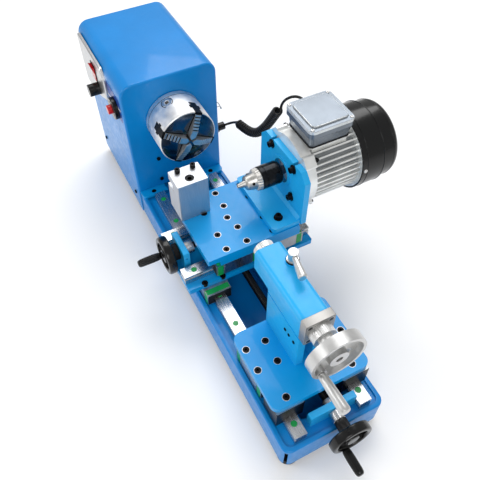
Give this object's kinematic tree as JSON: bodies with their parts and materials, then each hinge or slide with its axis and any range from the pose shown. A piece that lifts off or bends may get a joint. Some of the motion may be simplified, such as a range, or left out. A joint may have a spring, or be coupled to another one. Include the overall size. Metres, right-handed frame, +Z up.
{
  "type": "metal lathe",
  "caption": "Small bench metal lathe with scroll chuck, cross slide carrying a tool post and a motor-driven drill, tailstock and handwheels on profile rails.",
  "frame": {"origin": "middle of the footprint, on the surface the machine stands on", "axes": "+X along the bed from headstock to tailstock, +Y towards the driven tool's motor, +Z up"},
  "size_m": [0.851, 0.4376, 0.325],
  "materials": {
    "blue_sheet": "glossy blue powder coat on folded sheet steel",
    "blue_plate": "glossy light-blue powder coat on machined plate",
    "ground_steel": "ground and hardened rail steel",
    "block_steel": "ground steel block body",
    "black_rubber": "moulded black rubber",
    "black_oxide": "black oxide screws",
    "cast_body": "machined grey iron",
    "belt_rubber": "ribbed drive belt",
    "bright_chuck": "turned and ground chuck body",
    "jaw_steel": "hardened polished jaw steel",
    "spindle_steel": "turned steel",
    "silver_bezel": "pale moulded bezel",
    "red_plastic": "red switch plastic",
    "black_plastic": "black moulded plastic",
    "black_bakelite": "polished black phenolic",
    "bronze_nut": "bronze feed nut",
    "tool_aluminium": "brushed aluminium",
    "motor_aluminium": "satin die-cast aluminium",
    "cord_jacket": "black cord jacket",
    "bright_nickel": "satin nickel plate",
    "screw_black": "dark feed screw"
  },
  "bodies": {
    "bed": {"bed_tray": "blue_sheet", "rubber_feet": "black_rubber", "bed_rails": "ground_steel", "headstock_base_plate": "blue_plate", "headstock_cover": "blue_sheet", "cover_screws": "black_oxide", "spindle_housing": "cast_body", "drive_motor": "motor_aluminium", "drive_belt": "belt_rubber", "control_bezel": "silver_bezel", "stop_switch_housing": "silver_bezel", "cable_gland": "black_plastic", "lead_screw_bearings": "blue_plate"},
    "spindle": {"spindle_shaft": "spindle_steel", "chuck_body": "bright_chuck"},
    "scroll": {"chuck_scroll": "spindle_steel"},
    "pinion": {"chuck_pinion": "bright_chuck"},
    "jaw_1": {"chuck_jaw_1": "jaw_steel"},
    "jaw_2": {"chuck_jaw_2": "jaw_steel"},
    "jaw_3": {"chuck_jaw_3": "jaw_steel"},
    "jaw_4": {"chuck_jaw_4": "jaw_steel"},
    "motor_drive": {"motor_pulley": "spindle_steel"},
    "rocker": {"power_rocker": "red_plastic"},
    "knob": {"speed_knob": "black_plastic"},
    "stop": {"stop_button": "red_plastic"},
    "saddle": {"saddle_plate": "blue_plate", "saddle_screws": "black_oxide", "saddle_blocks": "block_steel", "lead_nut": "bronze_nut", "cross_rails": "ground_steel", "cross_screw_bearing": "blue_plate", "cord_gland_tail": "cord_jacket", "cord_coil": "cord_jacket"},
    "lead_screw": {"lead_screw": "screw_black", "lead_handwheel": "black_bakelite"},
    "lead_grip": {"lead_handle": "black_bakelite"},
    "cross_screw": {"cross_screw": "screw_black", "cross_handwheel": "black_bakelite"},
    "cross_grip": {"cross_handle": "black_bakelite"},
    "cross_slide": {"cross_blocks": "block_steel", "cross_table": "blue_plate", "cross_nut": "bronze_nut", "tool_post": "tool_aluminium", "motor_bracket": "blue_plate", "cross_slide_screws": "black_oxide", "motor_housing": "motor_aluminium", "terminal_box": "motor_aluminium", "fan_cover": "black_plastic", "cord_box_tail": "cord_jacket"},
    "drill": {"drill_shaft": "spindle_steel", "drill_chuck": "bright_nickel"},
    "tailstock": {"tailstock_base": "blue_plate", "tailstock_blocks": "block_steel", "tailstock_support": "blue_plate", "tailstock_housing": "blue_plate", "tailstock_screws": "black_oxide"},
    "quill": {"quill": "bright_nickel"},
    "quill_screw": {"quill_handwheel": "bright_nickel"},
    "quill_grip": {"quill_handle": "bright_nickel"},
    "lock": {"lock_lever": "bright_nickel"}
  },
  "joints": [
    {"name": "spindle_turn", "type": "hinge", "parent": "bed", "child": "spindle", "pos_m": [-0.2115, -0.06425, 0.225], "axis": [1, 0, 0], "continuous": true},
    {"name": "scroll_turn", "type": "hinge", "parent": "spindle", "child": "scroll", "pos_m": [-0.1645, -0.06425, 0.225], "axis": [1, 0, 0], "range_deg": [0, 900]},
    {"name": "jaw_1_slide", "type": "slide", "parent": "spindle", "child": "jaw_1", "axis": [0, 0.4617, 0.887], "range_m": [0, 0.015]},
    {"name": "jaw_2_slide", "type": "slide", "parent": "spindle", "child": "jaw_2", "axis": [0, -0.887, 0.4617], "range_m": [0, 0.015]},
    {"name": "jaw_3_slide", "type": "slide", "parent": "spindle", "child": "jaw_3", "axis": [0, -0.4617, -0.887], "range_m": [0, 0.015]},
    {"name": "jaw_4_slide", "type": "slide", "parent": "spindle", "child": "jaw_4", "axis": [0, 0.887, -0.4617], "range_m": [0, 0.015]},
    {"name": "pinion_turn", "type": "hinge", "parent": "spindle", "child": "pinion", "pos_m": [-0.1753, -0.07778, 0.26792], "axis": [0, -0.3007, 0.9537], "range_deg": [0, 2700]},
    {"name": "motor_turn", "type": "hinge", "parent": "bed", "child": "motor_drive", "pos_m": [-0.3915, -0.06425, 0.118], "axis": [1, 0, 0], "continuous": true},
    {"name": "rocker_tilt", "type": "hinge", "parent": "bed", "child": "rocker", "pos_m": [-0.3295, -0.15545, 0.262], "axis": [1, 0, 0], "range_deg": [-12, 0]},
    {"name": "knob_turn", "type": "hinge", "parent": "bed", "child": "knob", "pos_m": [-0.3165, -0.15625, 0.236], "axis": [0, -1, 0], "range_deg": [-135, 135]},
    {"name": "stop_press", "type": "slide", "parent": "bed", "child": "stop", "axis": [0, 1, 0], "range_m": [0, 0.003], "stiffness_N_per_m": 300},
    {"name": "lead_screw_turn", "type": "hinge", "parent": "bed", "child": "lead_screw", "pos_m": [0.3785, -0.05775, 0.077], "axis": [1, 0, 0], "range_deg": [-6000, 5400]},
    {"name": "saddle_travel", "type": "slide", "parent": "bed", "child": "saddle", "axis": [1, 0, 0], "range_m": [-0.05, 0.045]},
    {"name": "lead_grip_spin", "type": "hinge", "parent": "lead_screw", "child": "lead_grip", "pos_m": [0.3865, -0.06755, 0.0578], "axis": [1, 0, 0], "continuous": true},
    {"name": "cross_screw_turn", "type": "hinge", "parent": "saddle", "child": "cross_screw", "pos_m": [0.0085, -0.17125, 0.127], "axis": [0, 1, 0], "range_deg": [-4500, 3600]},
    {"name": "cross_travel", "type": "slide", "parent": "saddle", "child": "cross_slide", "axis": [0, 1, 0], "range_m": [-0.025, 0.02]},
    {"name": "cross_grip_spin", "type": "hinge", "parent": "cross_screw", "child": "cross_grip", "pos_m": [-0.007, -0.17925, 0.1115], "axis": [0, 1, 0], "continuous": true},
    {"name": "drill_turn", "type": "hinge", "parent": "cross_slide", "child": "drill", "pos_m": [0.0085, 0.03575, 0.225], "axis": [0, 1, 0], "continuous": true},
    {"name": "tailstock_travel", "type": "slide", "parent": "bed", "child": "tailstock", "axis": [1, 0, 0], "range_m": [-0.03, 0.006]},
    {"name": "quill_screw_turn", "type": "hinge", "parent": "tailstock", "child": "quill_screw", "pos_m": [0.3185, -0.06425, 0.225], "axis": [1, 0, 0], "range_deg": [-450, 4500]},
    {"name": "quill_travel", "type": "slide", "parent": "tailstock", "child": "quill", "axis": [-1, 0, 0], "range_m": [-0.0025, 0.025]},
    {"name": "quill_grip_spin", "type": "hinge", "parent": "quill_screw", "child": "quill_grip", "pos_m": [0.3265, -0.08765, 0.205], "axis": [1, 0, 0], "continuous": true},
    {"name": "lock_turn", "type": "hinge", "parent": "tailstock", "child": "lock", "pos_m": [0.1835, -0.04825, 0.25], "axis": [0, 0, 1], "range_deg": [-75, 45]}
  ],
  "couplings": [
    {"joint": "jaw_1_slide", "follows": "scroll_turn", "m_per_rad": 0.00095493},
    {"joint": "jaw_2_slide", "follows": "scroll_turn", "m_per_rad": 0.00095493},
    {"joint": "jaw_3_slide", "follows": "scroll_turn", "m_per_rad": 0.00095493},
    {"joint": "jaw_4_slide", "follows": "scroll_turn", "m_per_rad": 0.00095493},
    {"joint": "pinion_turn", "follows": "scroll_turn", "ratio": 3},
    {"joint": "motor_turn", "follows": "spindle_turn", "ratio": 2.5714},
    {"joint": "lead_screw_turn", "follows": "saddle_travel", "rad_per_m": 2094.4},
    {"joint": "cross_screw_turn", "follows": "cross_travel", "rad_per_m": 3141.6},
    {"joint": "quill_travel", "follows": "quill_screw_turn", "m_per_rad": 0.00031831}
  ]
}
